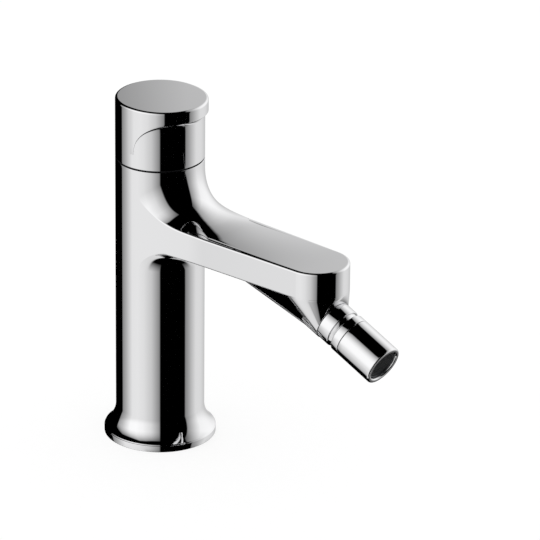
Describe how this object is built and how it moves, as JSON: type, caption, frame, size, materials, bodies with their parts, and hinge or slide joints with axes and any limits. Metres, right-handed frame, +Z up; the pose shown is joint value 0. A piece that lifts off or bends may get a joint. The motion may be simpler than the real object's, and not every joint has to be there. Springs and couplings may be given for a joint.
{
  "type": "bidet mixer",
  "caption": "Single-lever bidet mixer in polished chrome: round column on a flared foot, level spout, ball-jointed spray nozzle and a cylindrical lift-and-turn handle.",
  "frame": {"origin": "on the column's axis at the deck, at the mouth of the hose well", "axes": "+Z up along the column, spout towards -Y, +X to the right seen from the front's left"},
  "size_m": [0.0582, 0.1845, 0.1872],
  "materials": {
    "polished_chrome": "polished",
    "black_rubber": "matte",
    "white_plastic": "matte",
    "grey_plastic": "matte",
    "ceramic": "lapped",
    "brass": "turned",
    "steel": "bright",
    "steel_mesh": "fine woven wire"
  },
  "bodies": {
    "column": {"mixer_body": "polished_chrome", "base_gasket": "black_rubber", "cartridge_base": "white_plastic", "inlet_seals": "black_rubber", "cartridge_o_ring": "black_rubber", "fixed_disc": "ceramic", "cartridge_housing": "white_plastic", "cartridge_nut": "brass", "glide_ring": "grey_plastic", "swivel_collar": "polished_chrome", "collar_o_ring": "black_rubber", "seat_cushion": "black_rubber"},
    "rotary": {"rotary_guide": "white_plastic", "pivot_pin": "steel"},
    "handle": {"handle_shell": "polished_chrome", "lever_spindle": "steel", "handle_screw": "steel", "screw_plug": "polished_chrome"},
    "slider": {"disc_driver": "white_plastic", "moving_disc": "ceramic"},
    "seat": {"ball_seat": "white_plastic"},
    "nozzle": {"swivel_ball": "polished_chrome", "nozzle_sleeve": "polished_chrome", "aerator_washer": "black_rubber", "aerator_body": "white_plastic", "aerator_jet_disc": "grey_plastic", "aerator_mesh": "steel_mesh"}
  },
  "joints": [
    {"name": "temperature_turn", "type": "hinge", "parent": "column", "child": "rotary", "pos_m": [0, 0, 0.1664], "axis": [0, 0, 1], "range_deg": [-50, 50]},
    {"name": "flow_lift", "type": "hinge", "parent": "rotary", "child": "handle", "pos_m": [0, 0, 0.1664], "axis": [-1, 0, 0], "range_deg": [0, 18]},
    {"name": "disc_slide", "type": "slide", "parent": "rotary", "child": "slider", "axis": [0, -1, 0], "range_m": [0, 0.00566]},
    {"name": "nozzle_spin", "type": "hinge", "parent": "column", "child": "seat", "pos_m": [0, -0.1215, 0.09583], "axis": [0, -0.9135, -0.4067], "continuous": true},
    {"name": "nozzle_tilt", "type": "hinge", "parent": "seat", "child": "nozzle", "pos_m": [0, -0.1215, 0.09583], "axis": [1, 0, 0], "range_deg": [-12, 12]}
  ],
  "couplings": [
    {"joint": "disc_slide", "follows": "flow_lift", "m_per_rad": 0.018}
  ]
}
